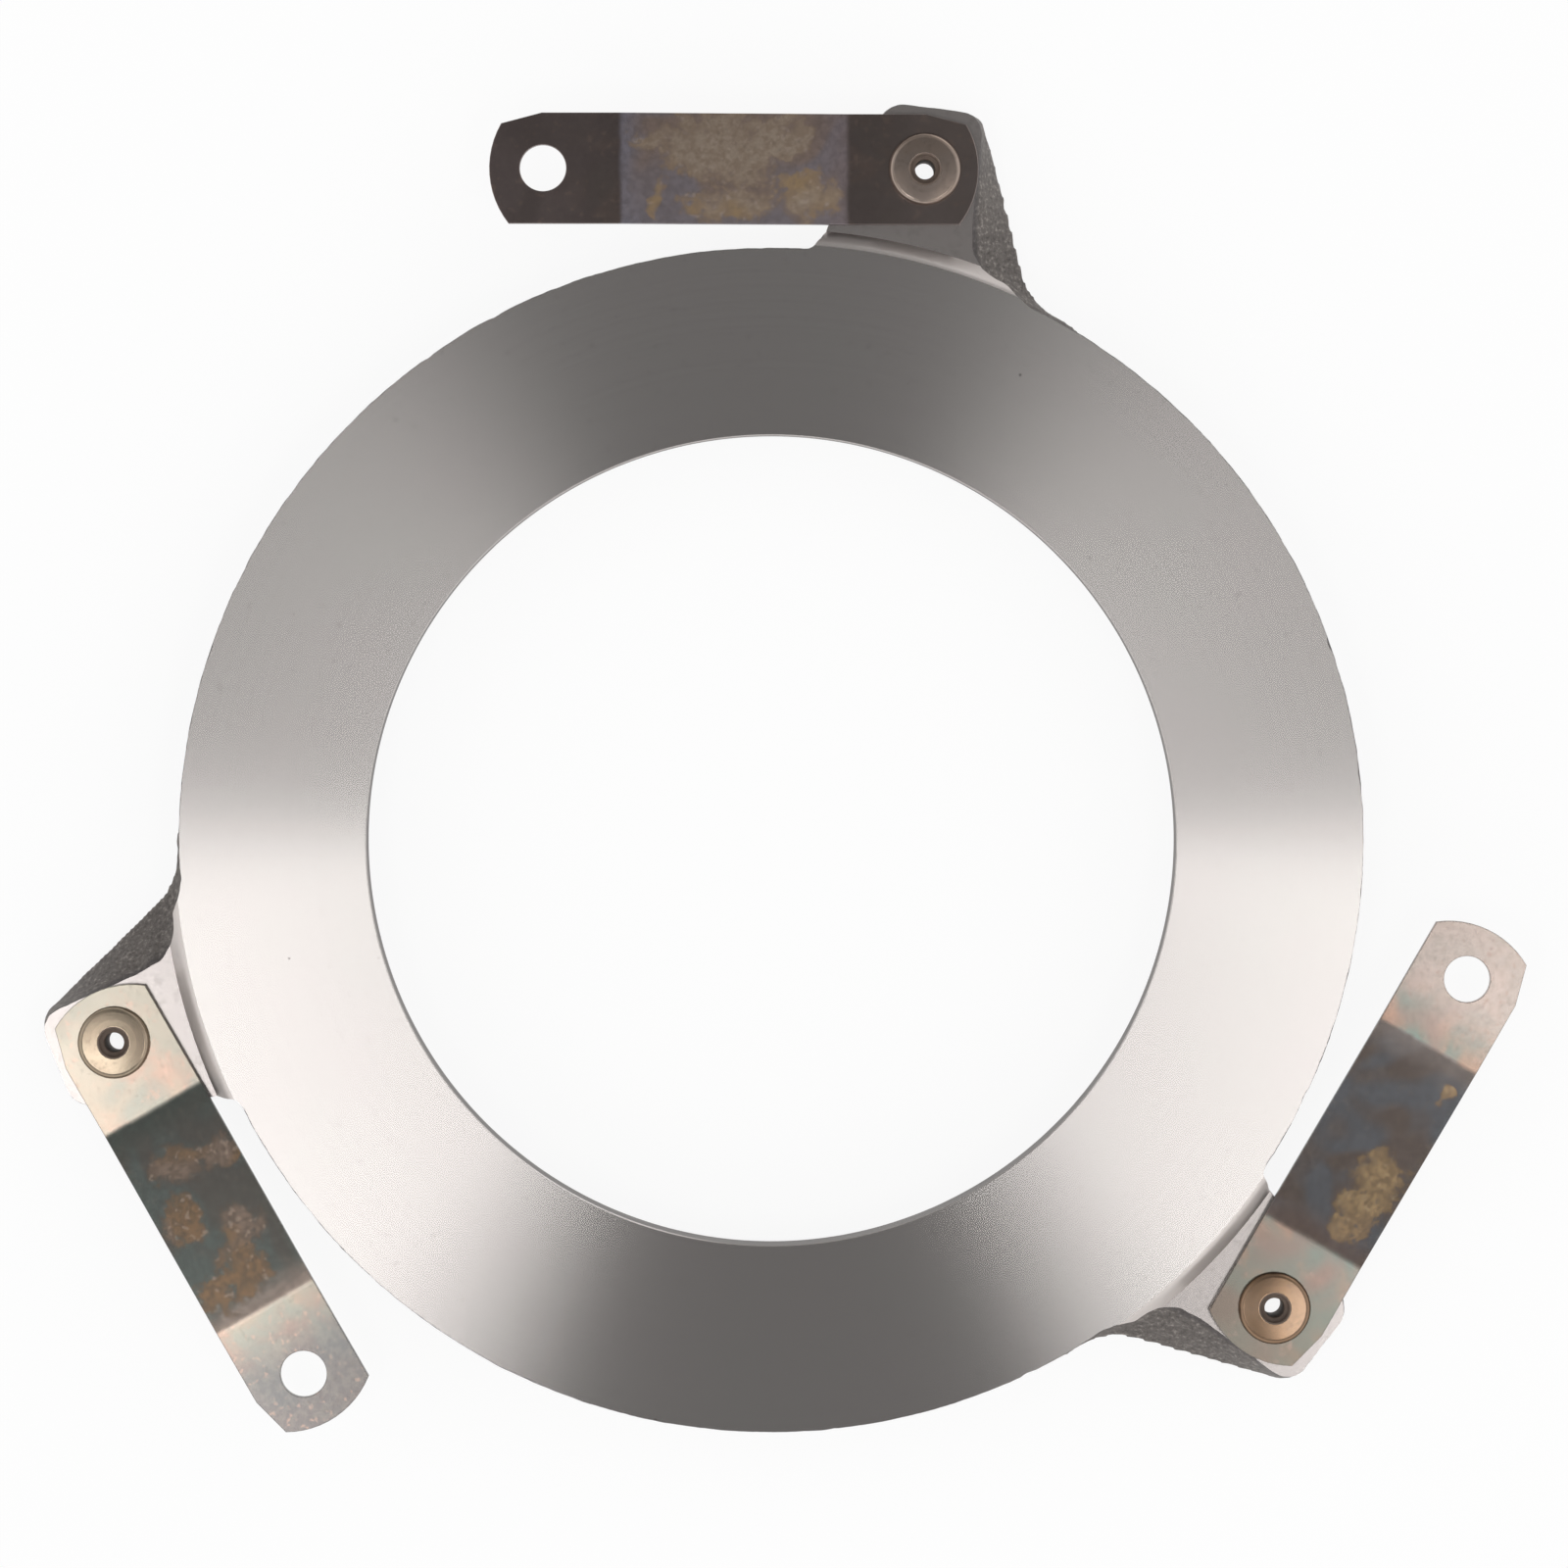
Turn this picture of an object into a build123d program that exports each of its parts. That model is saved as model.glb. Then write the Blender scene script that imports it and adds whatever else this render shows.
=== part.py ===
from build123d import *
import math
import os

# Clutch pressure plate for a 200 mm car clutch, lying friction side up.
# The origin is on the ring's axis in the plane of the friction face, and +Z leaves that face.
# Places on a lug or a strap are given for the lug at the top, whose strap runs along -X.

# Ring
ring_outer_dia = 205.0
ring_bore_dia = 140.0
ring_thickness = 14.0
face_edge_break = 0.5
back_edge_break = 1.5

# Fulcrum ridge on the back, which the diaphragm spring presses on
ridge_mean_dia = 185.0
ridge_height = 4.0
ridge_crest_width = 4.6
ridge_flank_width = 2.4
ridge_crest_break = 0.7
ridge_segments = 9
ridge_gap = 13.0
ridge_gap_draft = 20.0

# Lugs, each with a seat milled below the friction face
lug_count = 3
seat_depth = 5.0
shoulder_reach = 1.2
shoulder_taper = 2.2
shoulder_edge_break = 0.6
lug_draft = 0.4
lug_tip_reach = 2.2
lug_tip_fall = 2.2
lug_corner_radius = 4.0

# Points of a lug's outline: how far along from the rivet, and how far out from the ring's edge
lug_root_along = -20.6
lug_neck = (-16.9, 2.7)
lug_lead_corner_along = -6.1
lug_trail_corner_along = 10.3
seat_waist = (7.6, 2.0)
seat_foot = (13.5, -7.4)
seat_toe = (22.9, -14.0)
back_waist = (17.7, -3.8)
back_foot = (26.3, -13.1)
back_toe = (36.0, -23.4)
lug_keel_depth = 8.0

# Drive straps: a pack of thin spring leaves on each lug
leaf_names = ["bottom", "middle", "top"]
leaf_thickness = 0.7
leaf_gap = 0.02
strap_width = 19.1
strap_to_ring = 4.05
hole_pitch = 66.0
free_hole_dia = 8.0
end_reach = 9.27
end_arc_radius = 15.4
cut_corner_start = 0.2
cut_corner_depth = 1.85
bend_to_hole = 13.3
strap_set = 4.0
bend_radius = 6.0

# Tubular rivets
rivet_along = 26.6
rivet_shank_dia = 8.0
rivet_clearance = 0.05
head_dia = 12.5
head_thickness = 1.7
head_bevel_width = 1.0
head_bevel_drop = 0.7
head_dish = 0.35
mouth_dia = 5.0
mouth_depth = 1.8
rivet_bore_dia = 3.4
spot_face_dia = 14.5
spot_face_depth = 0.6
tail_dia = 11.2
tail_thickness = 1.4

# What follows from the sizes above
ring_radius = ring_outer_dia / 2
bore_radius = ring_bore_dia / 2
seat_z = -seat_depth
back_z = -ring_thickness
ridge_radius = ridge_mean_dia / 2
crest_half = ridge_crest_width / 2
ridge_foot_half = crest_half + ridge_flank_width
strap_half = strap_width / 2
strap_line = ring_radius + strap_to_ring + strap_half
leaf_step = leaf_thickness + leaf_gap
pack_height = len(leaf_names) * leaf_step - leaf_gap
rivet_hole_radius = rivet_shank_dia / 2 + rivet_clearance
spot_face_z = back_z + spot_face_depth
slope_angle = math.atan2(strap_set, hole_pitch - 2 * bend_to_hole)
stations = [Plane.XY.rotated((0, 0, turn * 360 / lug_count)) for turn in range(lug_count)]

os.makedirs("parts", exist_ok=True)


def lug_outline(draft, waist, foot, toe):
    """A lug's closed outline: draft lets its plain sides out, the rest place its trailing flank."""
    root_x = rivet_along + lug_root_along
    root = (root_x, math.sqrt(ring_radius**2 - root_x**2) - 0.1)
    keel = (root_x, ring_radius - lug_keel_depth)
    neck = (rivet_along + lug_neck[0] - draft, ring_radius + lug_neck[1])
    crown = strap_line + strap_half + lug_tip_reach + draft
    lead_corner = (rivet_along + lug_lead_corner_along - draft, crown)
    trail_corner = (rivet_along + lug_trail_corner_along, crown - lug_tip_fall)
    waist_point = (rivet_along + waist[0], ring_radius + waist[1])
    foot_point = (rivet_along + foot[0], ring_radius + foot[1])
    toe_point = (rivet_along + toe[0], ring_radius + toe[1])
    Line(keel, root)
    TangentArc(root, neck, tangent=(root[1], -root[0]))
    FilletPolyline(neck, lead_corner, trail_corner, waist_point, radius=lug_corner_radius)
    side_run = (waist_point[0] - trail_corner[0], waist_point[1] - trail_corner[1])
    TangentArc(waist_point, foot_point, tangent=side_run)
    Line(foot_point, toe_point)
    Line(toe_point, keel)


# Lug outlines at the seat and at the back
with BuildSketch() as seat_plan:
    with BuildLine():
        lug_outline(0, seat_waist, seat_foot, seat_toe)
    make_face()

with BuildSketch() as back_plan:
    with BuildLine():
        lug_outline(lug_draft, back_waist, back_foot, back_toe)
    make_face()

# Shoulders, where the turned face stands above the seats
with BuildPart() as shoulders:
    with BuildSketch(Plane.XZ) as shoulder_section:
        with BuildLine():
            Polyline(
                (ring_radius - lug_keel_depth, 0),
                (ring_radius + shoulder_reach, 0),
                (ring_radius + shoulder_reach + shoulder_taper, seat_z),
                (ring_radius - lug_keel_depth, seat_z),
                close=True,
            )
        make_face()
        face_corner = shoulder_section.vertices().group_by(Axis.Y)[-1].sort_by(Axis.X)[-1]
        chamfer(face_corner, shoulder_edge_break)
    revolve(axis=Axis.Z)
    for station in stations:
        with BuildSketch(station.offset(seat_z)):
            add(seat_plan.sketch)
    extrude(amount=seat_depth, mode=Mode.INTERSECT)

# Casting: the ring with its ridge, and the lugs
with BuildPart() as casting:
    with BuildSketch(Plane.XZ) as ring_section:
        with BuildLine():
            Polyline(
                (bore_radius, 0),
                (ring_radius, 0),
                (ring_radius, back_z),
                (ridge_radius + ridge_foot_half, back_z),
                (ridge_radius + crest_half, back_z - ridge_height),
                (ridge_radius - crest_half, back_z - ridge_height),
                (ridge_radius - ridge_foot_half, back_z),
                (bore_radius, back_z),
                close=True,
            )
        make_face()
        chamfer(ring_section.vertices().group_by(Axis.Y)[-1], face_edge_break)
        back_corners = ring_section.vertices().group_by(Axis.Y)[1].sort_by(Axis.X)
        chamfer([back_corners[0], back_corners[-1]], back_edge_break)
        chamfer(ring_section.vertices().group_by(Axis.Y)[0], ridge_crest_break)
    revolve(axis=Axis.Z)
    with BuildSketch(Plane.XY.offset(back_z)):
        with PolarLocations(ridge_radius, ridge_segments, start_angle=90 + 180 / ridge_segments):
            Rectangle(3 * ridge_foot_half, ridge_gap)
    extrude(amount=-ridge_height, taper=-ridge_gap_draft, mode=Mode.SUBTRACT)
    for station in stations:
        with BuildSketch(station.offset(seat_z)):
            add(seat_plan.sketch)
        with BuildSketch(station.offset(back_z)):
            add(back_plan.sketch)
        loft(ruled=True)
    add(shoulders.part)
    for station in stations:
        with BuildSketch(station.offset(seat_z)):
            with Locations((rivet_along, strap_line)):
                Circle(rivet_hole_radius)
        extrude(amount=-(ring_thickness - seat_depth), mode=Mode.SUBTRACT)
        with BuildSketch(station.offset(back_z)):
            with Locations((rivet_along, strap_line)):
                Circle(spot_face_dia / 2)
        extrude(amount=spot_face_depth, mode=Mode.SUBTRACT)
casting.part.label = "casting"
export_step(casting.part, "parts/casting.step")


def leaf_edge(height):
    """One face of the pack's side view, at a height above the seat: flat, up by the set, flat."""
    shift = height * math.tan(slope_angle / 2)
    low = seat_z + height
    high = low + strap_set
    overrun = 2 * end_reach
    points = [
        (-overrun, low),
        (bend_to_hole - shift, low),
        (hole_pitch - bend_to_hole - shift, high),
        (hole_pitch + overrun, high),
    ]
    radii = [bend_radius + pack_height - height, bend_radius + height]
    return FilletPolyline(*points, radius=radii)


def blank_outline():
    """A leaf's plan outline, along from the rivet: like ends, each with its outer corner cut off."""
    arc_centre = end_reach - end_arc_radius
    inner_tip = arc_centre + math.sqrt(end_arc_radius**2 - strap_half**2)
    cut_half = strap_half - cut_corner_depth
    outer_tip = arc_centre + math.sqrt(end_arc_radius**2 - cut_half**2)
    far = hole_pitch
    ThreePointArc((-inner_tip, -strap_half), (-end_reach, 0), (-outer_tip, cut_half))
    Polyline(
        (-outer_tip, cut_half),
        (-cut_corner_start, strap_half),
        (far + cut_corner_start, strap_half),
        (far + outer_tip, cut_half),
    )
    ThreePointArc((far + outer_tip, cut_half), (far + end_reach, 0), (far + inner_tip, -strap_half))
    Line((far + inner_tip, -strap_half), (-inner_tip, -strap_half))


# Strap leaves: strip bent to the set, cut to the blank's outline and pierced at both ends
for strap_number, station in enumerate(stations, start=1):
    rivet_point = station.from_local_coords(Vector(rivet_along, strap_line, 0))
    side_plane = Plane(origin=rivet_point, x_dir=-station.x_dir, z_dir=station.y_dir)
    top_plane = Plane(origin=rivet_point, x_dir=-station.x_dir, z_dir=-station.z_dir)
    for layer, leaf_name in enumerate(leaf_names):
        with BuildPart() as leaf:
            with BuildSketch(side_plane):
                with BuildLine():
                    under = leaf_edge(layer * leaf_step)
                    over = leaf_edge(layer * leaf_step + leaf_thickness)
                    Line(under @ 0, over @ 0)
                    Line(under @ 1, over @ 1)
                make_face()
            extrude(amount=strap_width, both=True)
            with BuildSketch(top_plane):
                with BuildLine():
                    blank_outline()
                make_face()
                Circle(rivet_hole_radius, mode=Mode.SUBTRACT)
                with Locations((hole_pitch, 0)):
                    Circle(free_hole_dia / 2, mode=Mode.SUBTRACT)
            extrude(amount=ring_thickness, both=True, mode=Mode.INTERSECT)
        leaf.part.label = f"strap_{strap_number}_{leaf_name}_leaf"
        export_step(leaf.part, f"parts/{leaf.part.label}.step")

# Tubular rivets: turned section with the dished head on the leaves and the rolled tail in the spot face
for strap_number, station in enumerate(stations, start=1):
    rivet_point = station.from_local_coords(Vector(rivet_along, strap_line, 0))
    section_plane = Plane(origin=rivet_point, x_dir=station.x_dir, z_dir=-station.y_dir)
    head_under = seat_z + pack_height
    head_top = head_under + head_thickness
    tail_end = spot_face_z - tail_thickness
    rim_radius = head_dia / 2 - head_bevel_width
    mouth_floor = head_top - mouth_depth
    with BuildPart() as rivet:
        with BuildSketch(section_plane):
            with BuildLine():
                Polyline(
                    (mouth_dia / 2, head_top - head_dish),
                    (rim_radius, head_top),
                    (head_dia / 2, head_top - head_bevel_drop),
                    (head_dia / 2, head_under),
                    (rivet_shank_dia / 2, head_under),
                    (rivet_shank_dia / 2, spot_face_z),
                    (tail_dia / 2, spot_face_z),
                    (tail_dia / 2, tail_end),
                    (rivet_bore_dia / 2, tail_end),
                    (rivet_bore_dia / 2, mouth_floor),
                    (mouth_dia / 2, mouth_floor),
                    close=True,
                )
            make_face()
        revolve(axis=Axis(rivet_point, station.z_dir))
    rivet.part.label = f"strap_{strap_number}_rivet"
    export_step(rivet.part, f"parts/{rivet.part.label}.step")
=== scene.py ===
import bmesh
import bpy
import math
from mathutils import Matrix, Vector, noise


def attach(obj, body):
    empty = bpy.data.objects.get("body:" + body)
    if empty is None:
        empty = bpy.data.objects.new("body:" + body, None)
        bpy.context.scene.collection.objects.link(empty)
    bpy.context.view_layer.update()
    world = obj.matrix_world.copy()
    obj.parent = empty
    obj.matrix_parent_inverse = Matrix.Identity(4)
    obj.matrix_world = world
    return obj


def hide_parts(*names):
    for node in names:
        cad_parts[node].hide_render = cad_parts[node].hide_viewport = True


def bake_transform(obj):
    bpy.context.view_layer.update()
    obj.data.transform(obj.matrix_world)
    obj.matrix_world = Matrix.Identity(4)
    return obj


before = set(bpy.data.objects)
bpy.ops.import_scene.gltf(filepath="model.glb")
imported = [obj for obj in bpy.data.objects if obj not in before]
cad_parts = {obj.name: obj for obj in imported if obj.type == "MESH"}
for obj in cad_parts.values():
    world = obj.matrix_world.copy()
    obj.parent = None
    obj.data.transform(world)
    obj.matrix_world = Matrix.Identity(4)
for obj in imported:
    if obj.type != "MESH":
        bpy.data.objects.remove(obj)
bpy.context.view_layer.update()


# Camera
# It hangs almost over the ring's middle, a little towards the top strap, with a long lens.
camera_place = Vector((-0.0012, 0.0302, 1.4))
camera_aim = Vector((0.0022, 0.0098, 0))
camera_width_at_aim = 0.271
sensor_width = 36

camera_data = bpy.data.cameras.new("camera")
camera_data.sensor_width = sensor_width
camera_data.lens = sensor_width * (camera_aim - camera_place).length / camera_width_at_aim
camera = bpy.data.objects.new("camera", camera_data)
bpy.context.scene.collection.objects.link(camera)
looking = (camera_aim - camera_place).normalized()
rightward = looking.cross(Vector((0, 1, 0))).normalized()
upward = rightward.cross(looking)
camera_turn = Matrix((rightward, upward, -looking)).transposed().to_4x4()
camera.matrix_world = Matrix.Translation(camera_place) @ camera_turn
bpy.context.scene.camera = camera


# Casting
# One grey iron casting: the ring, its ridge and the three lugs. It comes rough out of the sand,
# then the friction face, shoulders and bore are turned, the strap seats milled and the rivet
# holes drilled and spot-faced, so the machined faces meet the cast skin in slightly ragged edges.
bore_radius = 0.070
bore_break = 0.0002
bore_draft = 0.0003
bore_wall_end = -0.0126
face_radius_at_lugs = 0.1031
shoulder_rounding = [(0.10335, -0.00005), (0.10365, -0.0002), (0.104, -0.00055), (0.1045, -0.0015)]
shoulder_foot_radius = 0.1059
seat_height = -0.005
crest_z = -0.018
machined_reach = 0.132
turned_steps = 480
face_allowance = 0.0012
seat_allowance = 0.0008
bore_allowance = 0.0008
crest_allowance = 0.0005
near = 0.0001
level = 0.00001
weld_distance = 0.000002
sand_grain = 0.00075
skin_smoothing = 0.5
skin_smoothings = 3
skin_lump_height = 0.00009
skin_lump_size = 0.0035
skin_grain_height = 0.00007
skin_grain_size = 0.0014
nick_depth = 0.0009
nick_size = 0.0045
nick_threshold = 0.42
rivet_place = Vector((0.0266, 0.1161, 0))
drill_start = -0.020
spot_face_radius = 0.0074
spot_face_z = -0.01335
clearance_hole_radius = 0.0043
drill_core = 0.0001
drill_steps = 72
crease_angle = 0.9
lay_space = 0.2
station_turns = [0, 120, 240]


class Value:
    """A number that changes over a surface. Sums on it are written as Python and become Math nodes."""

    def __init__(self, finish, socket):
        self.finish = finish
        self.socket = socket

    def sum(self, operation, *terms):
        """One Math node on the terms."""
        made = self.finish.node("ShaderNodeMath", {"operation": operation}, dict(enumerate(terms)))
        return Value(self.finish, made.outputs[0])

    def __add__(self, other):
        return self.sum("ADD", self, other)

    def __sub__(self, other):
        return self.sum("SUBTRACT", self, other)

    def __rsub__(self, other):
        return self.sum("SUBTRACT", other, self)

    def __mul__(self, other):
        return self.sum("MULTIPLY", self, other)

    def __truediv__(self, other):
        return self.sum("DIVIDE", self, other)

    __radd__ = __add__
    __rmul__ = __mul__


class Finish:
    """A material, built up node by node around one Principled shader."""

    def __init__(self, name, **constants):
        self.material = bpy.data.materials.new(name)
        self.material.use_nodes = True
        self.tree = self.material.node_tree
        self.shader = self.tree.nodes["Principled BSDF"]
        for socket, value in constants.items():
            self.shader.inputs[socket.replace("_", " ")].default_value = value

    def node(self, kind, settings, sockets):
        """A new node: its settings are set first, then its sockets get values or links."""
        made = self.tree.nodes.new(kind)
        for setting, value in settings.items():
            setattr(made, setting, value)
        for socket, value in sockets.items():
            if isinstance(value, Value):
                value = value.socket
            if isinstance(value, bpy.types.NodeSocket):
                self.tree.links.new(value, made.inputs[socket])
            else:
                made.inputs[socket].default_value = value
        return made

    def place(self, turn=0, centre=(0, 0, 0)):
        """The point on the object, measured from a centre and turned back."""
        coordinates = self.node("ShaderNodeTexCoord", {}, {})
        angle = math.radians(-turn)
        shift = Matrix.Rotation(angle, 3, "Z") @ Vector(centre)
        sockets = {"Vector": coordinates.outputs["Object"], "Location": -shift, "Rotation": (0, 0, angle)}
        return self.node("ShaderNodeMapping", {}, sockets).outputs[0]

    def axes(self, place):
        """The three numbers of a place: x, y and z."""
        parts = self.node("ShaderNodeSeparateXYZ", {}, {0: place})
        return [Value(self, output) for output in parts.outputs]

    def noise(self, place, size, detail=2, roughness=0.5, distortion=0):
        """Soft noise between 0 and 1 whose lumps are about the given size."""
        sockets = {"Vector": place, "Scale": 1 / size, "Detail": detail}
        sockets |= {"Roughness": roughness, "Distortion": distortion}
        return Value(self, self.node("ShaderNodeTexNoise", {}, sockets).outputs["Fac"])

    def step(self, value, low, high, start=0, end=1):
        """A smooth step from start, where the value is at low or beyond it, to end, at high or beyond."""
        sockets = {"Value": value, "From Min": low, "From Max": high, "To Min": start, "To Max": end}
        made = self.node("ShaderNodeMapRange", {"interpolation_type": "SMOOTHSTEP"}, sockets)
        return Value(self, made.outputs[0])

    def mix(self, share, base, other):
        """Two colours mixed: base where share is 0, other where it is 1."""
        made = self.node("ShaderNodeMix", {"data_type": "RGBA"}, {0: share, 6: base, 7: other})
        return made.outputs[2]

    def dent(self, height, depth):
        """Bumps of a height between 0 and 1, times a depth in metres, on the shader's normal."""
        made = self.node("ShaderNodeBump", {}, {"Height": height * depth, "Distance": 1.0})
        self.tree.links.new(made.outputs[0], self.shader.inputs["Normal"])

    def feed(self, **values):
        """Links what changes over the surface to the shader's sockets."""
        for socket, value in values.items():
            value = value.socket if isinstance(value, Value) else value
            self.tree.links.new(value, self.shader.inputs[socket.replace("_", " ")])


def tone(red, green, blue):
    """A colour as it looks on a screen, from 0 to 255, in the linear numbers that a shader takes."""
    return tuple(((channel / 255 + 0.055) / 1.055) ** 2.4 for channel in (red, green, blue)) + (1,)


def turned_finish(name, roughness, marks, tints):
    """Iron turned on a lathe: bright, smeared across the tool's circles, with faint rings."""
    finish = Finish(name, Metallic=1.0, Roughness=roughness, Anisotropic=1.0, Anisotropic_Rotation=0.25)
    place = finish.place()
    x, y = finish.axes(place)[:2]
    flat = finish.node("ShaderNodeCombineXYZ", {}, {0: x, 1: y}).outputs[0]
    radius = finish.node("ShaderNodeVectorMath", {"operation": "LENGTH"}, {0: flat}).outputs["Value"]
    rings_at = finish.node("ShaderNodeCombineXYZ", {}, {0: radius}).outputs[0]
    rings = finish.noise(rings_at, size=0.0009, detail=1, roughness=0.6)
    clouds = finish.noise(place, size=0.03, detail=3, roughness=0.6)
    mottle = finish.noise(place, size=0.0016, detail=2)
    pores = finish.noise(place, size=0.0021, detail=1)
    colour = finish.mix(clouds, tints[0], tints[1])
    colour = finish.mix(finish.step(rings, 0.35, 0.75, 0, 0.05), colour, tone(150, 143, 140))
    colour = finish.mix(finish.step(mottle, 0.6, 0.8, 0, 0.12), colour, tone(120, 112, 108))
    colour = finish.mix(finish.step(pores, 0.79, 0.83, 0, 0.5), colour, tone(70, 62, 60))
    finish.feed(Base_Color=colour)
    finish.dent(rings, marks)
    return finish.material


def milled_finish():
    """Iron faced by a cutter, with fine marks and slow clouds."""
    finish = Finish("milled iron", Metallic=1.0, Roughness=0.23)
    place = finish.place()
    marks = finish.noise(place, size=0.0014, detail=1, roughness=0.6)
    clouds = finish.noise(place, size=0.012, detail=3)
    colour = finish.mix(clouds, tone(176, 169, 165), tone(168, 162, 160))
    colour = finish.mix(finish.step(marks, 0.5, 0.8, 0, 0.3), colour, tone(140, 134, 130))
    finish.feed(Base_Color=colour)
    finish.dent(marks, 0.000002)
    return finish.material


def cast_finish():
    """The skin left by the sand: dark grey-brown and grainy, lighter on high spots, with painted shade
    along its top edge below the seats.
    """
    finish = Finish("cast skin", Metallic=0.25, Roughness=0.6)
    place = finish.place()
    height = finish.axes(place)[2]
    grain = finish.noise(place, size=0.00075, detail=3, roughness=0.7)
    clouds = finish.noise(place, size=0.009, detail=3)
    colour = finish.mix(clouds, tone(92, 86, 83), tone(112, 106, 101))
    colour = finish.mix(finish.step(grain, 0.32, 0.5, 0.6, 0), colour, tone(60, 54, 52))
    colour = finish.mix(finish.step(grain, 0.52, 0.7, 0, 0.6), colour, tone(168, 160, 154))
    # Painted shade: the skin is darkened in a band along its top edge, where it meets the milled seats.
    painted_shade_at_seat = finish.step(height, -0.0066, -0.0056, 0, 0.55)
    finish.feed(Base_Color=finish.mix(painted_shade_at_seat, colour, tone(56, 50, 52)))
    finish.dent(grain, 0.00025)
    return finish.material


def bored_finish():
    """The bore's wall: turned once and dulled since."""
    finish = Finish("bored iron", Metallic=0.6, Roughness=0.5)
    place = finish.place()
    height = finish.axes(place)[2]
    rings_at = finish.node("ShaderNodeCombineXYZ", {}, {0: height}).outputs[0]
    rings = finish.noise(rings_at, size=0.0006, detail=3)
    clouds = finish.noise(place, size=0.008, detail=3)
    colour = finish.mix(clouds, tone(84, 78, 75), tone(112, 106, 102))
    colour = finish.mix(finish.step(rings, 0.5, 0.8, 0, 0.3), colour, tone(60, 55, 52))
    finish.feed(Base_Color=colour)
    finish.dent(rings, 0.00002)
    return finish.material


def joined_copy(node):
    """A mesh made from a CAD node's loose triangles, joined up."""
    mesh = bmesh.new()
    mesh.from_mesh(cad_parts[node].data)
    bmesh.ops.remove_doubles(mesh, verts=mesh.verts, dist=weld_distance)
    return mesh


def lathe(section, steps, centre, materials):
    """A closed ring of the section's radius and height points, with a material's number for each side."""
    mesh = bmesh.new()
    rows = []
    for step in range(steps):
        angle = 2 * math.pi * step / steps
        out = Vector((math.cos(angle), math.sin(angle), 0))
        points = [centre + out * radius + Vector((0, 0, height)) for radius, height in section]
        rows.append([mesh.verts.new(point) for point in points])
    for step, row in enumerate(rows):
        following = rows[(step + 1) % steps]
        for side, material in enumerate(materials):
            ahead = (side + 1) % len(section)
            face = mesh.faces.new((row[side], following[side], following[ahead], row[ahead]))
            face.material_index = material
    bmesh.ops.recalc_face_normals(mesh, faces=mesh.faces)
    return mesh


def kept_object(name, mesh, finishes=()):
    """An object in the scene for a finished bmesh, with its materials in order."""
    data = bpy.data.meshes.new(name)
    mesh.to_mesh(data)
    mesh.free()
    for finish in finishes:
        data.materials.append(finish)
    made = bpy.data.objects.new(name, data)
    bpy.context.scene.collection.objects.link(made)
    return made


def apply_modifiers(piece):
    """Turns what the piece's modifiers make into its own mesh."""
    evaluated = piece.evaluated_get(bpy.context.evaluated_depsgraph_get())
    made = bpy.data.meshes.new_from_object(evaluated)
    piece.modifiers.clear()
    piece.data = made


def cut(piece, operation, tool):
    """Machines a piece with a tool's solid, then throws the tool away."""
    modifier = piece.modifiers.new("cut", "BOOLEAN")
    modifier.operation = operation
    modifier.solver = "MANIFOLD"
    modifier.object = tool
    apply_modifiers(piece)
    bpy.data.objects.remove(tool)


def station(turn):
    """The rotation that carries what is made for the first lug to the lug at a turn in degrees."""
    return Matrix.Rotation(math.radians(turn), 3, "Z")


cast_skin, turned_face, turned_shoulder, bored_wall, milled_seat = range(5)
casting_finishes = [
    cast_finish(),
    turned_finish(
        "turned friction face",
        roughness=0.215,
        marks=0.0000003,
        tints=[tone(198, 191, 189), tone(196, 193, 189)],
    ),
    turned_finish(
        "turned shoulder",
        roughness=0.34,
        marks=0.000001,
        tints=[tone(206, 198, 195), tone(212, 205, 200)],
    ),
    bored_finish(),
    milled_finish(),
]

# The rough casting has extra iron wherever it will be machined.
rough = joined_copy("casting")
for vertex in rough.verts:
    out = Vector((vertex.co.x, vertex.co.y, 0))
    radius, height = out.length, vertex.co.z
    on_shoulder = height > seat_height - near and radius > face_radius_at_lugs - near
    if height > -near:
        vertex.co.z += face_allowance
    elif on_shoulder or abs(height - seat_height) < level:
        vertex.co.z += seat_allowance
    elif height < crest_z + near:
        vertex.co.z -= crest_allowance
    if on_shoulder and radius < shoulder_foot_radius + near:
        vertex.co += out.normalized() * face_allowance
    if radius < bore_radius + bore_break + near and height > bore_wall_end:
        vertex.co -= out.normalized() * (bore_allowance + radius - bore_radius)
casting = kept_object("casting_skin", rough, casting_finishes)

# The sand rounds its edges and leaves lumps, grains and nicks.
remesh = casting.modifiers.new("sand", "REMESH")
remesh.mode = "VOXEL"
remesh.voxel_size = sand_grain
smooth = casting.modifiers.new("draft", "SMOOTH")
smooth.factor = skin_smoothing
smooth.iterations = skin_smoothings
apply_modifiers(casting)
sand_cast = []
for vertex in casting.data.vertices:
    lump = noise.noise(vertex.co / skin_lump_size) * skin_lump_height
    grain = noise.noise(vertex.co / skin_grain_size) * skin_grain_height
    nick = max(0, noise.noise(vertex.co / nick_size) - nick_threshold) * nick_depth
    sand_cast.append(vertex.co + vertex.normal * (lump + grain - nick))
for vertex, moved in zip(casting.data.vertices, sand_cast):
    vertex.co = moved

# Turning and milling leave what is inside this envelope.
machined = [
    (bore_radius + bore_draft, crest_z),
    (bore_radius, -bore_break),
    (bore_radius + bore_break, 0),
    (face_radius_at_lugs, 0),
    *shoulder_rounding,
    (shoulder_foot_radius, seat_height),
    (machined_reach, seat_height),
    (machined_reach, crest_z),
]
sides = [bored_wall, turned_face, turned_face]
sides += [turned_shoulder] * (len(shoulder_rounding) + 1)
sides += [milled_seat, cast_skin, turned_shoulder]
envelope = kept_object("envelope", lathe(machined, turned_steps, Vector(), sides), casting_finishes)
cut(casting, "INTERSECT", envelope)

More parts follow.
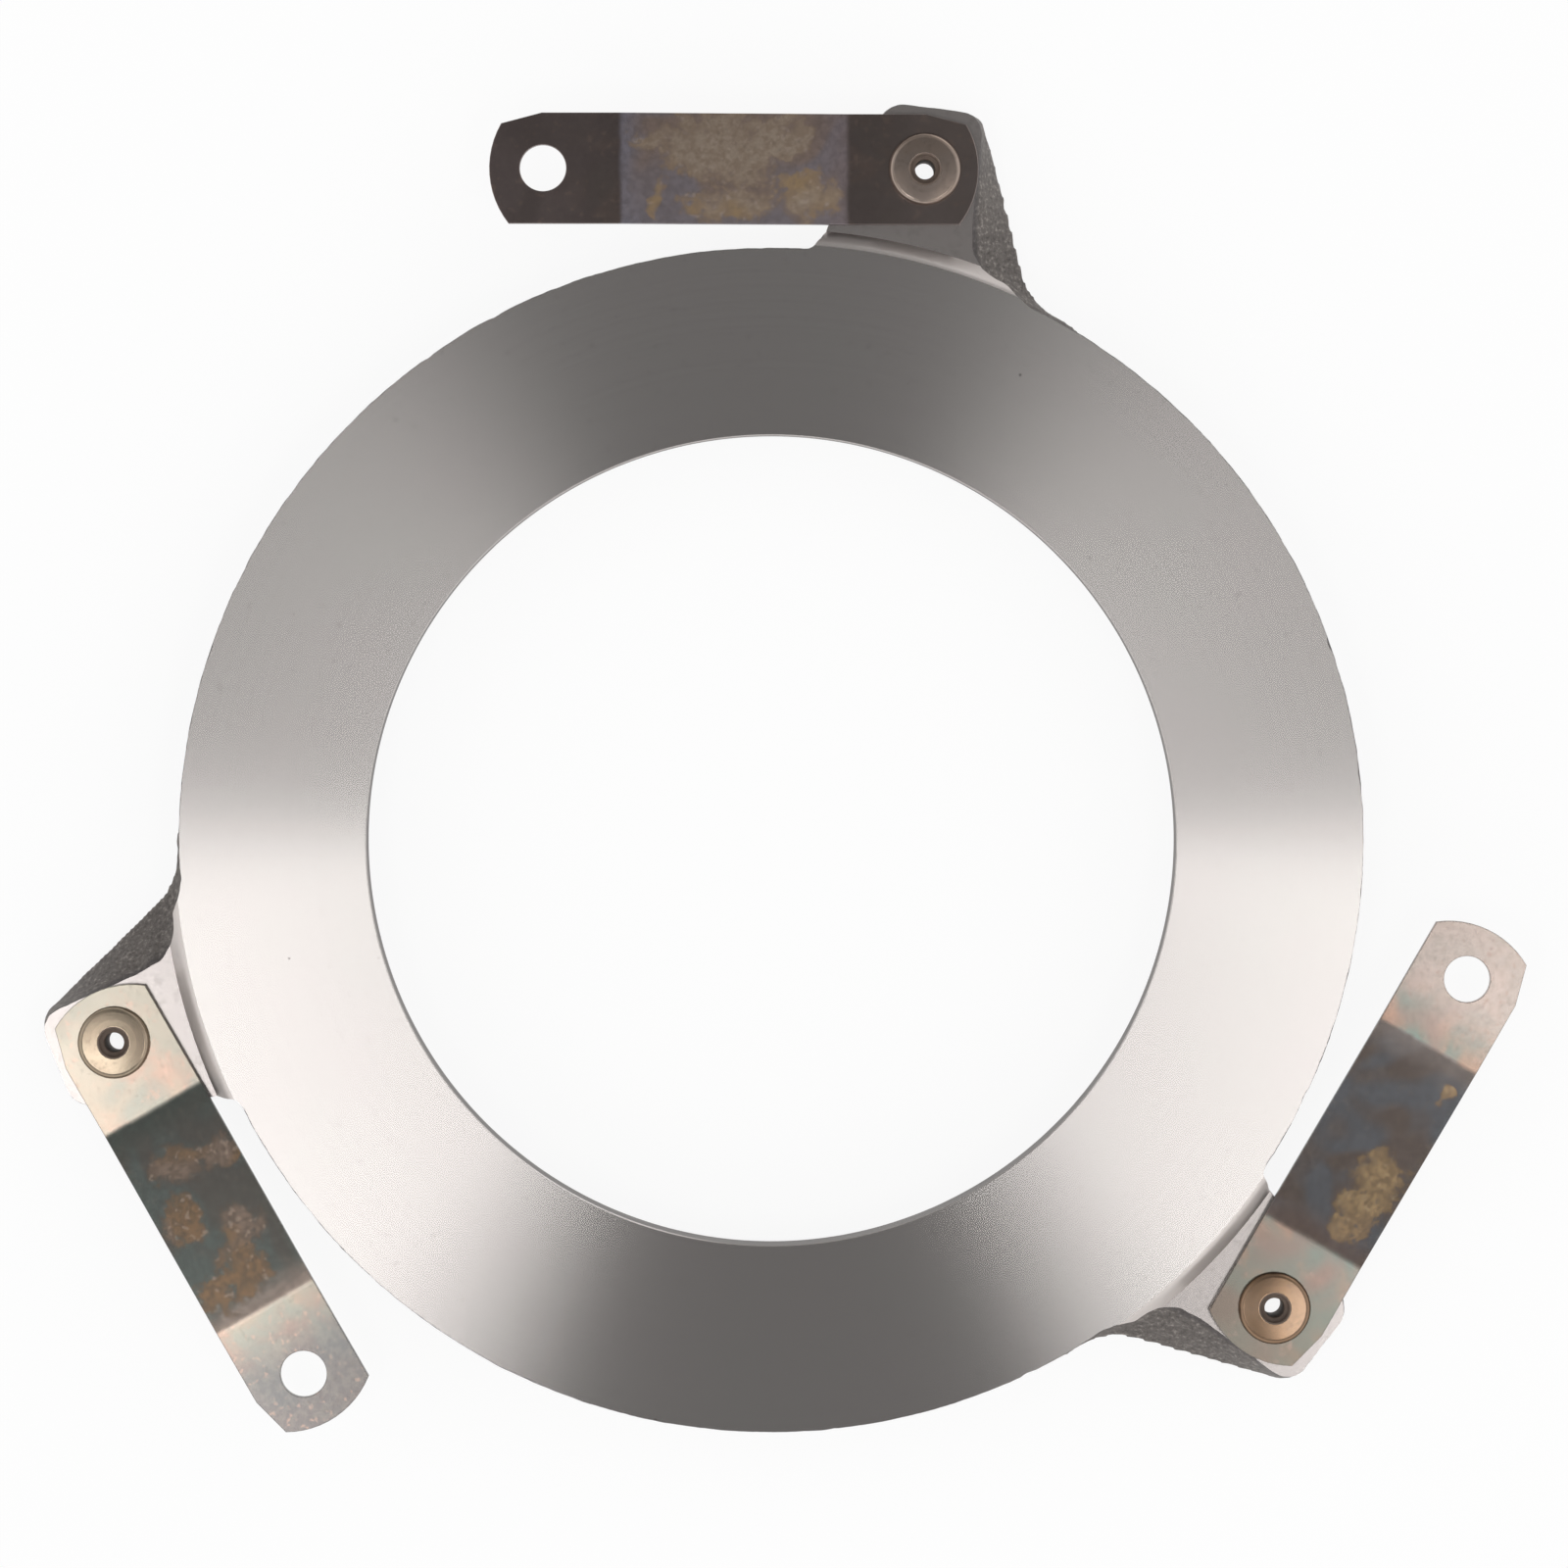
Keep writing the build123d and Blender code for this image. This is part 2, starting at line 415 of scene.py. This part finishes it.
# Each lug is drilled and spot-faced.
cutter = [(drill_core, drill_start), (spot_face_radius, drill_start), (spot_face_radius, spot_face_z)]
cutter += [(clearance_hole_radius, spot_face_z), (clearance_hole_radius, 0), (drill_core, 0)]
for turn in station_turns:
    drill_mesh = lathe(cutter, drill_steps, station(turn) @ rivet_place, [milled_seat] * len(cutter))
    cut(casting, "DIFFERENCE", kept_object("drill", drill_mesh, casting_finishes))

shaped = bmesh.new()
shaped.from_mesh(casting.data)
for face in shaped.faces:
    face.smooth = face.material_index not in (turned_face, milled_seat)
for edge in shaped.edges:
    within_one_finish = len({face.material_index for face in edge.link_faces}) == 1
    edge.smooth = within_one_finish and edge.calc_face_angle(0) < crease_angle
shaped.to_mesh(casting.data)
shaped.free()

# The lay of the turned faces circles the middle of the texture space, which goes on the ring's axis.
casting.data.use_auto_texspace = False
casting.data.texspace_location = (0, 0, 0)
casting.data.texspace_size = (lay_space, lay_space, lay_space)
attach(casting, "plate")
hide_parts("casting")


# Drive straps
# Each strap is a pack of three spring-steel leaves, cut from rolled strip with one outer corner off at
# each end, pierced, joggled by 4 mm between its ends and hardened, which leaves blue, straw and
# brown tempering colours. The riveted end is held on its lug.
leaf_count = 3
leaf_thickness = 0.0007
leaf_step = 0.00072
strap_half = 0.00955
hole_pitch = 0.066
rivet_hole_radius = 0.00405
free_hole_radius = 0.004
hole_steps = 64
end_reach = 0.00927
end_arc_radius = 0.0154
end_arc_steps = 12
cut_corner_start = 0.0002
cut_corner_depth = 0.00185
bend_to_hole = 0.0133
bend_length = 0.0008
bend_lines_each_way = 6
bend_line_pitch = 0.0002
slope_line_pitch = 0.0017
strap_set = 0.004
rim_angle = 1.2
rim_rounding = 0.00012
leaf_crease_angle = 0.3
near_slope_edge = (0.0128, 0.0140)
far_slope_edge = (0.0532, 0.0522)
strap_bodies = ["strap_1", "strap_2", "strap_3"]


def on_circle(middle, radius, angles):
    """The points at some angles on a circle whose middle is on the strap's middle line."""
    return [(middle + radius * math.cos(angle), radius * math.sin(angle)) for angle in angles]


def end_arc():
    """The end beyond a hole: from the corner that isn't cut, round to the one that is."""
    first = math.asin(strap_half / end_arc_radius)
    last = math.asin((strap_half - cut_corner_depth) / end_arc_radius)
    angles = [-first + (first + last) * step / end_arc_steps for step in range(end_arc_steps + 1)]
    return on_circle(end_reach - end_arc_radius, end_arc_radius, angles)


def hole(middle, radius):
    """A round hole through the blank."""
    return on_circle(middle, radius, [2 * math.pi * step / hole_steps for step in range(hole_steps)])


def bend_lines():
    """Where the blank is divided so that it can bend: closely in the bends, widely on the slope."""
    lines = []
    for bend in (bend_to_hole, hole_pitch - bend_to_hole):
        steps = range(-bend_lines_each_way, bend_lines_each_way + 1)
        lines += [bend + bend_line_pitch * step for step in steps]
    slope_start = bend_to_hole + 2 * bend_length
    slope = hole_pitch - 2 * bend_to_hole - 4 * bend_length
    parts = round(slope / slope_line_pitch)
    lines += [slope_start + slope * step / parts for step in range(parts + 1)]
    return lines


def leaf_blank():
    """A leaf's flat blank, along from the rivet's hole and inward from the edge, with rounded rims."""
    mesh = bmesh.new()
    riveted = [(-along, across) for along, across in end_arc()]
    free = [(hole_pitch + along, across) for along, across in reversed(end_arc())]
    long_side = [(-cut_corner_start, strap_half), (hole_pitch + cut_corner_start, strap_half)]
    outline = [(along, -across) for along, across in riveted + long_side + free]
    edges = []
    for loop in (outline, hole(0, rivet_hole_radius), hole(hole_pitch, free_hole_radius)):
        corners = [mesh.verts.new((along, across, 0)) for along, across in loop]
        edges += [mesh.edges.new((corner, corners[index - 1])) for index, corner in enumerate(corners)]
    bmesh.ops.triangle_fill(mesh, edges=edges, use_beauty=True)
    for along in bend_lines():
        plane = {"plane_co": (along, 0, 0), "plane_no": (1, 0, 0)}
        everything = mesh.verts[:] + mesh.edges[:] + mesh.faces[:]
        bmesh.ops.bisect_plane(mesh, geom=everything, dist=level, **plane)
    lifted = bmesh.ops.extrude_face_region(mesh, geom=mesh.faces[:])
    top = [part for part in lifted["geom"] if isinstance(part, bmesh.types.BMVert)]
    bmesh.ops.translate(mesh, verts=top, vec=(0, 0, leaf_thickness))
    bmesh.ops.recalc_face_normals(mesh, faces=mesh.faces)
    rims = [edge for edge in mesh.edges if edge.calc_face_angle(0) > rim_angle]
    rounded = {"segments": 2, "profile": 0.5, "affect": "EDGES", "clamp_overlap": True}
    bmesh.ops.bevel(mesh, geom=rims, offset=rim_rounding, **rounded)
    for face in mesh.faces:
        face.smooth = True
    for edge in mesh.edges:
        edge.smooth = edge.calc_face_angle(0) < leaf_crease_angle
    return mesh


class Tree:
    """A Geometry Nodes tree, with an input of each label and kind."""

    def __init__(self, name, inputs):
        self.group = bpy.data.node_groups.new(name, "GeometryNodeTree")
        sockets = self.group.interface
        for way in ("INPUT", "OUTPUT"):
            sockets.new_socket("Geometry", in_out=way, socket_type="NodeSocketGeometry")
        self.identifiers = {}
        for label, kind in inputs.items():
            made = sockets.new_socket(label, in_out="INPUT", socket_type=f"NodeSocket{kind}")
            self.identifiers[label] = made.identifier
        self.given = self.group.nodes.new("NodeGroupInput").outputs
        self.result = self.group.nodes.new("NodeGroupOutput").inputs

    def node(self, kind, settings, sockets):
        """A new node: its settings are set first, then its sockets get values or links."""
        made = self.group.nodes.new(kind)
        for setting, value in settings.items():
            setattr(made, setting, value)
        for socket, value in sockets.items():
            if isinstance(value, bpy.types.NodeSocket):
                self.group.links.new(value, made.inputs[socket])
            else:
                made.inputs[socket].default_value = value
        return made.outputs

    def sum(self, operation, *terms):
        """One Math node on the terms."""
        return self.node("ShaderNodeMath", {"operation": operation}, dict(enumerate(terms)))[0]

    def end(self, geometry, material):
        """Real faces with their material, as the tree's result."""
        real = self.node("GeometryNodeRealizeInstances", {}, {0: geometry})[0]
        dressed = self.node("GeometryNodeSetMaterial", {}, {"Geometry": real, "Material": material})[0]
        self.group.links.new(dressed, self.result[0])

    def grow(self, piece, **values):
        """Runs the tree on a piece, with its inputs set by identifier, and keeps the mesh."""
        modifier = piece.modifiers.new("tree", "NODES")
        modifier.node_group = self.group
        for label, value in values.items():
            modifier[self.identifiers[label.replace("_", " ")]] = value
        apply_modifiers(piece)


def spring_pack():
    """The tree that joggles a flat leaf, stacks it into a pack and lays the pack on its lug."""
    kinds = {"Leaves": "Int", "Step": "Float", "Set": "Float"}
    kinds |= {"Bend": "Float", "First bend": "Float", "Second bend": "Float"}
    kinds |= {"Place": "Vector", "Turn": "Vector", "Finish": "Material"}
    tree = Tree("spring pack", kinds)
    given = tree.given
    position = tree.node("GeometryNodeInputPosition", {}, {})[0]
    along = tree.node("ShaderNodeSeparateXYZ", {}, {0: position})[0]
    past_first = tree.sum("SUBTRACT", along, given["First bend"])
    past_second = tree.sum("SUBTRACT", along, given["Second bend"])
    rising = tree.sum("SMOOTH_MAX", past_first, 0.0, given["Bend"])
    levelling = tree.sum("SMOOTH_MAX", past_second, 0.0, given["Bend"])
    run = tree.sum("SUBTRACT", given["Second bend"], given["First bend"])
    share = tree.sum("DIVIDE", tree.sum("SUBTRACT", rising, levelling), run)
    lift = tree.sum("MULTIPLY", share, given["Set"])
    offset = tree.node("ShaderNodeCombineXYZ", {}, {2: lift})[0]
    bent = tree.node("GeometryNodeSetPosition", {}, {"Geometry": given["Geometry"], "Offset": offset})[0]
    up = tree.node("ShaderNodeCombineXYZ", {}, {2: given["Step"]})[0]
    layers = tree.node("GeometryNodeMeshLine", {}, {"Count": given["Leaves"], "Offset": up})[0]
    stacked = tree.node("GeometryNodeInstanceOnPoints", {}, {"Points": layers, "Instance": bent})[0]
    sockets = {"Geometry": stacked, "Translation": given["Place"], "Rotation": given["Turn"]}
    laid = tree.node("GeometryNodeTransform", {}, sockets)[0]
    tree.end(laid, given["Finish"])
    return tree


def spring_finish(body, turn, seed, ends, near_end, far_end, middle_tones_and_sheen, hazes, stain, blots):
    """Rolled strip, tempered: soft tints at the ends and a middle of another tone with patches of scale,
    the ends and middle also set lighter or darker per strap as painted reflection of the lamps.

    Places along the strap are in metres from its rivet. A blot is its place along and across, half its
    length and half its width.
    """
    finish = Finish(f"spring steel of {body}", Metallic=1.0)
    place = finish.place(turn + 180, station(turn) @ rivet_place)
    along, across = finish.axes(place)[:2]
    seeded = {0: place, 1: (seed, 2 * seed, 0)}
    moved = finish.node("ShaderNodeVectorMath", {"operation": "ADD"}, seeded).outputs[0]
    clouds = finish.noise(moved, size=0.012, detail=1, distortion=0.8)
    drift = finish.noise(moved, size=0.007, detail=2, distortion=0.6)
    spots = finish.noise(moved, size=0.0024, detail=3, roughness=0.6)
    mottle = finish.noise(moved, size=0.0013, detail=2, roughness=0.6)
    grains = finish.noise(moved, size=0.0012, detail=1)
    grain_tops = finish.step(grains, 0.58, 0.72)
    fine = finish.noise(moved, size=0.0009, detail=1, roughness=0.6)

    # The ends: soft tints, one more towards each tip, and specks, each strap's set lighter or darker as
    # painted reflection.
    drifted = along + drift * 0.006
    end_colour = finish.mix(finish.step(clouds, 0.35, 0.65), ends[0], ends[1])
    end_colour = finish.mix(finish.step(drift, 0.45, 0.75, 0, 0.7), end_colour, ends[2])
    end_colour = finish.mix(finish.step(drifted, -0.002, 0.016, 0.7, 0), end_colour, near_end)
    end_colour = finish.mix(finish.step(drifted, 0.056, 0.068, 0, 0.85), end_colour, far_end)
    end_colour = finish.mix(finish.step(mottle, 0.36, 0.6, 0.16, 0), end_colour, near_end)
    end_specks = grain_tops * finish.step(drift, 0.38, 0.55, 0, 0.5)
    end_colour = finish.mix(end_specks, end_colour, ends[3])

    # The ground of the middle, lighter or darker per strap as painted reflection of the lamps on the slope,
    # with a haze beside each bend.
    wander = (drift - 0.5) * 0.0012
    ground = finish.mix(finish.step(clouds, 0.4, 0.6), middle_tones_and_sheen[0], middle_tones_and_sheen[1])
    near_bend = finish.step(along + wander * 3, 0.0135, 0.020, 0.8, 0)
    far_bend = finish.step(along - wander * 3, 0.047, 0.052, 0, 0.8)
    ground = finish.mix(near_bend, ground, hazes[0])
    ground = finish.mix(far_bend, ground, hazes[1])
    ground = finish.mix(finish.step(mottle, 0.38, 0.65, 0.2, 0), ground, tone(64, 60, 58))

    # Patches of scale: ragged blots with a lighter core and specks.
    ragged = (drift - 0.5) * 2 + (spots - 0.5) * 4.5 + (mottle - 0.5) * 2.5
    stained = 0.0
    for blot_along, blot_across, half_length, half_width in blots:
        off_along = (along - blot_along + (drift - 0.5) * 0.008) / half_length
        off_across = (across - blot_across + (clouds - 0.5) * 0.006) / half_width
        apart = off_along * off_along + off_across * off_across
        stained = finish.step(apart + ragged, 2.6, 0.1) + stained
    ground = finish.mix(finish.step(stained, 0.05, 1, 0, 0.8), ground, stain[0])
    core = finish.step(stained, 0.25, 1.1) * finish.step(mottle, 0.34, 0.62, 0.35, 0.95)
    ground = finish.mix(core, ground, finish.mix(finish.step(clouds, 0.42, 0.6), stain[1], stain[2]))
    specks = grain_tops * finish.step(stained, 0.05, 0.5, 0.06, 0.45)
    ground = finish.mix(specks, ground, stain[3])

    # The middle, with its painted reflection, starts and ends at the bends.
    near_edge = finish.step(along + wander, *near_slope_edge)
    far_edge = finish.step(along + wander, *far_slope_edge)
    colour = finish.mix(near_edge * far_edge, end_colour, ground)
    colour = finish.mix(finish.step(fine, 0.55, 0.8, 0, 0.16), colour, tone(84, 76, 72))
    finish.feed(Base_Color=colour, Roughness=finish.step(clouds, 0.3, 0.7, 0.22, 0.25))
    finish.dent(fine, 0.000001)
    return finish.material


# Painted reflection: the top strap's ends are dark and its middle light, the side straps' ends light and
# their middles dark.
top_finish = spring_finish(
    "strap_1",
    turn=0,
    seed=0.31,
    ends=[tone(112, 102, 98), tone(102, 92, 90), tone(122, 106, 98), tone(134, 118, 110)],
    near_end=tone(124, 114, 110),
    far_end=tone(112, 101, 99),
    middle_tones_and_sheen=[tone(150, 132, 123), tone(136, 128, 132)],
    hazes=[tone(138, 126, 128), tone(140, 136, 146)],
    stain=[tone(154, 132, 112), tone(176, 160, 144), tone(166, 142, 110), tone(192, 176, 162)],
    blots=[
        (0.036, -0.004, 0.010, 0.005),
        (0.024, -0.006, 0.004, 0.003),
        (0.0205, 0.005, 0.005, 0.0035),
        (0.033, 0.006, 0.006, 0.003),
        (0.0465, 0.006, 0.0012, 0.003),
    ],
)
left_finish = spring_finish(
    "strap_2",
    turn=120,
    seed=0.57,
    ends=[tone(160, 147, 133), tone(150, 149, 139), tone(172, 142, 128), tone(176, 150, 136)],
    near_end=tone(160, 154, 142),
    far_end=tone(112, 110, 111),
    middle_tones_and_sheen=[tone(102, 108, 104), tone(98, 96, 91)],
    hazes=[tone(86, 92, 87), tone(156, 140, 130)],
    stain=[tone(108, 94, 82), tone(138, 114, 90), tone(136, 120, 108), tone(172, 154, 140)],
    blots=[
        (0.025, 0.007, 0.0025, 0.0025),
        (0.0245, -0.0015, 0.0035, 0.004),
        (0.0325, -0.005, 0.003, 0.003),
        (0.0385, 0.004, 0.0035, 0.0035),
        (0.0445, -0.0005, 0.0035, 0.004),
        (0.047, -0.007, 0.003, 0.003),
    ],
)
right_finish = spring_finish(
    "strap_3",
    turn=240,
    seed=0.83,
    ends=[tone(136, 118, 110), tone(116, 128, 121), tone(156, 126, 108), tone(150, 130, 120)],
    near_end=tone(122, 114, 104),
    far_end=tone(166, 153, 146),
    middle_tones_and_sheen=[tone(110, 100, 94), tone(100, 101, 104)],
    hazes=[tone(116, 101, 94), tone(138, 129, 124)],
    stain=[tone(122, 102, 82), tone(170, 146, 112), tone(160, 136, 106), tone(178, 158, 130)],
    blots=[
        (0.028, -0.005, 0.0045, 0.004),
        (0.022, -0.004, 0.003, 0.003),
        (0.0175, -0.003, 0.002, 0.0025),
        (0.047, -0.006, 0.002, 0.001),
    ],
)
spring_finishes = [top_finish, left_finish, right_finish]
pack_tree = spring_pack()
for turn, body, finish in zip(station_turns, strap_bodies, spring_finishes):
    strap = kept_object(f"{body}_pack", leaf_blank())
    riveted_at = station(turn) @ (rivet_place + Vector((0, 0, seat_height)))
    pack_tree.grow(
        strap,
        Leaves=leaf_count,
        Step=leaf_step,
        Set=strap_set,
        Bend=bend_length,
        First_bend=bend_to_hole,
        Second_bend=hole_pitch - bend_to_hole,
        Place=riveted_at,
        Turn=(0, 0, math.radians(turn + 180)),
        Finish=finish,
    )
    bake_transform(strap)
    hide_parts(f"{body}_bottom_leaf", f"{body}_middle_leaf", f"{body}_top_leaf")


# Rivets
# A tubular steel rivet holds each pack to its lug: a slightly crowned head with a rounded rim, a
# stepped mouth, a bore right through, and a tail rolled over in the spot face on the back.
head_under = -0.00286
head_top = head_under + 0.0017
head_radius = 0.00625
head_crown = [(0.0029, 0.00001), (0.0040, 0.00005), (0.0054, 0.00012)]
head_rim = [(0.0057, 0.0002), (0.0059, 0.00034), (0.0061, 0.0006), (head_radius, 0.00105)]
mouth_radius = 0.0025
mouth_floor = head_top - 0.0018
rivet_bore = 0.0017
shank_radius = 0.004
tail_radius = 0.0056
tail_top = -0.0134
tail_end = -0.0148
rivet_steps = 96
rivet_rounding = 0.00028
rounding_steps = 3
rivet_crease_angle = 0.7
rivet_section = [
    (mouth_radius, head_top),
    *[(radius, head_top - drop) for radius, drop in head_crown + head_rim],
    (head_radius, head_under),
    (shank_radius, head_under),
    (shank_radius, tail_top),
    (tail_radius, tail_top),
    (tail_radius, tail_end),
    (rivet_bore, tail_end),
    (rivet_bore, mouth_floor),
    (mouth_radius, mouth_floor),
]


def rivet_turning():
    """The tree that rounds a rivet's half section, turns it about its axis and sets one at each lug."""
    kinds = {"Rounding": "Float", "Rounding steps": "Int", "Steps": "Int", "Radius": "Float"}
    kinds |= {"Stations": "Int", "Place": "Vector", "Finish": "Material"}
    tree = Tree("rivet turning", kinds)
    given = tree.given
    section = tree.node("GeometryNodeMeshToCurve", {}, {"Mesh": given["Geometry"]})[0]
    rounding = {"Curve": section, "Radius": given["Rounding"], "Count": given["Rounding steps"]}
    rounding["Limit Radius"] = True
    rounded = tree.node("GeometryNodeFilletCurve", {"mode": "POLY"}, rounding)[0]
    circle = {"Resolution": given["Steps"], "Radius": given["Radius"]}
    path = tree.node("GeometryNodeCurvePrimitiveCircle", {"mode": "RADIUS"}, circle)[0]
    turned = tree.node("GeometryNodeCurveToMesh", {}, {"Curve": path, "Profile Curve": rounded})[0]
    place = {"Geometry": turned, "Translation": given["Place"]}
    placed = tree.node("GeometryNodeTransform", {}, place)[0]
    points = tree.node("GeometryNodePoints", {}, {"Count": given["Stations"]})[0]
    number = tree.node("GeometryNodeInputIndex", {}, {})[0]
    share = tree.sum("DIVIDE", number, given["Stations"])
    angle = tree.sum("MULTIPLY", share, 2 * math.pi)
    turn = tree.node("ShaderNodeCombineXYZ", {}, {2: angle})[0]
    sockets = {"Points": points, "Instance": placed, "Rotation": turn}
    set_out = tree.node("GeometryNodeInstanceOnPoints", {}, sockets)[0]
    tree.end(set_out, given["Finish"])
    return tree


def rivet_finish():
    """Plain steel with a thin tint: straw on the left rivet, pale at the top, bronze on the right; the left
    one is also painted lighter and the right one darker, as painted light and shade.
    """
    finish = Finish("rivet steel", Metallic=1.0)
    place = finish.place()
    x = finish.axes(place)[0]
    clouds = finish.noise(place, size=0.006, detail=2)
    scratches = finish.noise(place, size=0.0008, detail=1, roughness=0.6)
    # Painted light and shade: the left rivet's tone is lighter and the right rivet's darker, on top of
    # their straw and bronze tints.
    colour = finish.mix(finish.step(x, -0.05, 0), tone(162, 148, 129), tone(156, 142, 133))
    colour = finish.mix(finish.step(x, 0.05, 0.08), colour, tone(140, 115, 93))
    colour = finish.mix(finish.step(clouds, 0.35, 0.65, 0, 0.35), colour, tone(142, 122, 106))
    colour = finish.mix(finish.step(scratches, 0.5, 0.75, 0, 0.25), colour, tone(110, 96, 84))
    finish.feed(Base_Color=colour, Roughness=finish.step(clouds, 0.3, 0.7, 0.23, 0.27))
    finish.dent(scratches, 0.000001)
    return finish.material


def mouth_finish():
    """The rivet's mouth and bore, oxidised dark brown and never polished."""
    finish = Finish("rivet mouth", Metallic=0.2, Roughness=0.7)
    place = finish.place()
    grime = finish.noise(place, size=0.0015, detail=3, roughness=0.6)
    finish.feed(Base_Color=finish.mix(grime, tone(92, 78, 70), tone(130, 114, 102)))
    finish.dent(grime, 0.00002)
    return finish.material


section_mesh = bmesh.new()
section_points = [(radius - head_radius, -height, 0) for radius, height in rivet_section]
corners = [section_mesh.verts.new(point) for point in section_points]
for index, corner in enumerate(corners):
    section_mesh.edges.new((corners[index - 1], corner))
rivets = kept_object("strap_rivets", section_mesh)
rivet_finishes = [rivet_finish(), mouth_finish()]
rivet_turning().grow(
    rivets,
    Rounding=rivet_rounding,
    Rounding_steps=rounding_steps,
    Steps=rivet_steps,
    Radius=head_radius,
    Stations=len(station_turns),
    Place=rivet_place,
    Finish=rivet_finishes[0],
)
rivets.data.materials.clear()
for finish in rivet_finishes:
    rivets.data.materials.append(finish)
rivet_mesh = bmesh.new()
rivet_mesh.from_mesh(rivets.data)
bmesh.ops.recalc_face_normals(rivet_mesh, faces=rivet_mesh.faces)
rivet_axes = [station(turn) @ rivet_place for turn in station_turns]
for face in rivet_mesh.faces:
    face.smooth = True
    off_axis = min((face.calc_center_median() - axis).to_2d().length for axis in rivet_axes)
    face.material_index = 1 if off_axis < mouth_radius + rivet_rounding else 0
for edge in rivet_mesh.edges:
    edge.smooth = edge.calc_face_angle(0) < rivet_crease_angle
rivet_mesh.to_mesh(rivets.data)
rivet_mesh.free()
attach(rivets, "plate")
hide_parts("strap_1_rivet", "strap_2_rivet", "strap_3_rivet")


# Floor
# A plain pale floor under the ridge's crest, on which the part rests. It is white to the camera and
# in the metal, and keeps a soft shadow.
floor_half = 3.0
floor_cells = 8
floor_grey = 0.97
shadow_share = 0.1
white = (1, 1, 1, 1)

pale = Finish("pale floor", Roughness=0.9, Base_Color=(floor_grey, floor_grey, floor_grey, 1))
ray = pale.node("ShaderNodeLightPath", {}, {}).outputs
seen = Value(pale, ray["Is Camera Ray"]) + Value(pale, ray["Is Glossy Ray"])
seen = seen + Value(pale, ray["Is Transmission Ray"])
share = seen.sum("MINIMUM", seen * (1 - shadow_share), 1 - shadow_share)
glow = pale.node("ShaderNodeEmission", {}, {"Color": white, "Strength": 1.0})
surfaces = {0: share, 1: pale.shader.outputs[0], 2: glow.outputs[0]}
surface = pale.node("ShaderNodeMixShader", {}, surfaces).outputs[0]
pale.tree.links.new(surface, pale.tree.nodes["Material Output"].inputs["Surface"])
floor_mesh = bmesh.new()
bmesh.ops.create_grid(floor_mesh, x_segments=floor_cells, y_segments=floor_cells, size=floor_half)
bmesh.ops.translate(floor_mesh, verts=floor_mesh.verts, vec=(0, 0, crest_z))
floor = kept_object("floor", floor_mesh, [pale.material])


# Light
# Two soft boxes hang either side of the camera with a dark gap between them. The room is dim
# overhead and bright at the horizon, less so behind the top strap, with a bright panel at its right.
box_height = 1.6
box_centres = (-0.348, 0.389)
box_behind = -0.280
box_width = 0.284
box_length = 0.500
box_turn = 0.101
box_radiance = 5.9
room_horizon = 1.12
horizon_band = (0.76, 0.88)
room_overhead = 0.21
room_beside = 0.35
beside_band = (0.01, 0.12)
room_behind = 0.13
behind_band = (-0.12, 0.04)
room_dip = 0.75
dip_band = (0.3, 0.8)
room_panel = 1.4
panel_band = (0.88, 0.97)
panel_east = 0.52
panel_north = 0.85

for centre in box_centres:
    lamp_data = bpy.data.lights.new("soft box", "AREA")
    lamp_data.shape = "RECTANGLE"
    lamp_data.size = box_width
    lamp_data.size_y = box_length
    lamp_data.energy = box_radiance * math.pi * box_width * box_length
    lamp = bpy.data.objects.new("soft box", lamp_data)
    lamp.location = (centre, box_behind, box_height)
    lamp.rotation_euler = (0, 0, -math.copysign(box_turn, centre))
    bpy.context.scene.collection.objects.link(lamp)

pale_room = bpy.data.worlds.new("pale room")
pale_room.use_nodes = True
bpy.context.scene.world = pale_room


class Room(Finish):
    """The world's light, built with the same calls as a material."""

    def __init__(self, world):
        self.tree = world.node_tree


room = Room(pale_room)
direction = room.node("ShaderNodeTexCoord", {}, {}).outputs["Generated"]
east, north, height = room.axes(direction)
beside = room.step(east * east, *beside_band, 0, room_beside)
overhead = room.step(north, *behind_band, room_behind, beside + room_overhead)
panel = room.step(east * panel_east + north * panel_north, *panel_band, 0, room_panel)
horizon = panel + room_horizon - room.step(north, *dip_band, 0, room_dip)
brightness = room.step(height, *horizon_band, horizon, overhead)
camera_ray = Value(room, room.node("ShaderNodeLightPath", {}, {}).outputs["Is Camera Ray"])
strength = brightness * (1 - camera_ray) + camera_ray
background = room.tree.nodes["Background"]
background.inputs["Color"].default_value = white
room.tree.links.new(strength.socket, background.inputs["Strength"])


# End
# Colours are shown as they are.
bpy.context.scene.view_settings.view_transform = "Standard"
